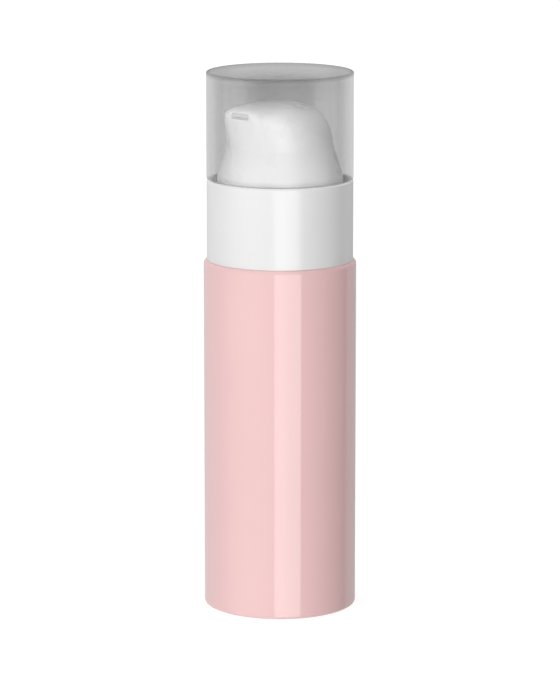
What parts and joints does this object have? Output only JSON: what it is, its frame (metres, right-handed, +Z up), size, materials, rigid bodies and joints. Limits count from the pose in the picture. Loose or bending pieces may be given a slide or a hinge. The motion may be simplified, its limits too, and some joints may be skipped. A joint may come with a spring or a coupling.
{
  "type": "airless pump bottle",
  "caption": "Slim double-walled airless pump bottle with a follower piston, a sprung pump head with a slot outlet and a clear push-on cap.",
  "frame": {"origin": "centre of the foot ring, on the surface that the bottle stands on", "axes": "+Z up along the bottle's axis, the outlet looks along -Y, +X to the outlet's left hand as seen from the front"},
  "size_m": [0.038, 0.038, 0.1346],
  "materials": {
    "pink_shell": "high gloss, pale pink, injection moulded",
    "white_base": "satin white",
    "inner_white": "natural white polypropylene",
    "follower_white": "waxy natural polyethylene",
    "collar_white": "gloss white",
    "pump_white": "white polypropylene",
    "pump_clear": "natural polypropylene",
    "gasket_grey": "soft foamed sealing ring",
    "ball_steel": "polished steel ball",
    "spring_steel": "drawn stainless wire",
    "head_core_white": "white polypropylene",
    "nozzle_white": "white polypropylene",
    "head_white": "satin gloss white",
    "cap_smoke": "clear, lightly smoked, polished"
  },
  "bodies": {
    "bottle": {"outer_sleeve": "pink_shell", "base_plate": "white_base", "inner_bottle": "inner_white", "collar": "collar_white", "pump_closure": "pump_white", "neck_gasket": "gasket_grey", "pump_housing": "pump_clear", "stem_guide": "pump_clear", "ball_cage": "pump_white", "return_spring": "spring_steel"},
    "follower": {"follower_piston": "follower_white"},
    "stem": {"upper_stem": "pump_white", "piston_rod": "pump_white"},
    "head": {"actuator_shell": "head_white", "actuator_core": "head_core_white", "nozzle_insert": "nozzle_white"},
    "piston": {"sealing_piston": "follower_white"},
    "ball": {"inlet_ball": "ball_steel"},
    "cap": {"cap": "cap_smoke"}
  },
  "joints": [
    {"name": "pump_stroke", "type": "slide", "parent": "bottle", "child": "stem", "axis": [0, 0, -1], "range_m": [0, 0.005], "stiffness_N_per_m": 2000, "springref_m": -0.002, "deforming": ["return_spring"]},
    {"name": "head_turn", "type": "hinge", "parent": "stem", "child": "head", "pos_m": [0, 0, 0.112], "axis": [0, 0, 1], "continuous": true},
    {"name": "piston_lag", "type": "slide", "parent": "stem", "child": "piston", "axis": [0, 0, 1], "range_m": [0, 0.0008]},
    {"name": "ball_lift", "type": "slide", "parent": "bottle", "child": "ball", "axis": [0, 0, 1], "range_m": [0, 0.0012]},
    {"name": "follower_rise", "type": "slide", "parent": "bottle", "child": "follower", "axis": [0, 0, 1], "range_m": [0, 0.065]},
    {"name": "cap_pull", "type": "slide", "parent": "bottle", "child": "cap", "axis": [0, 0, 1], "range_m": [0, 0.03]}
  ]
}
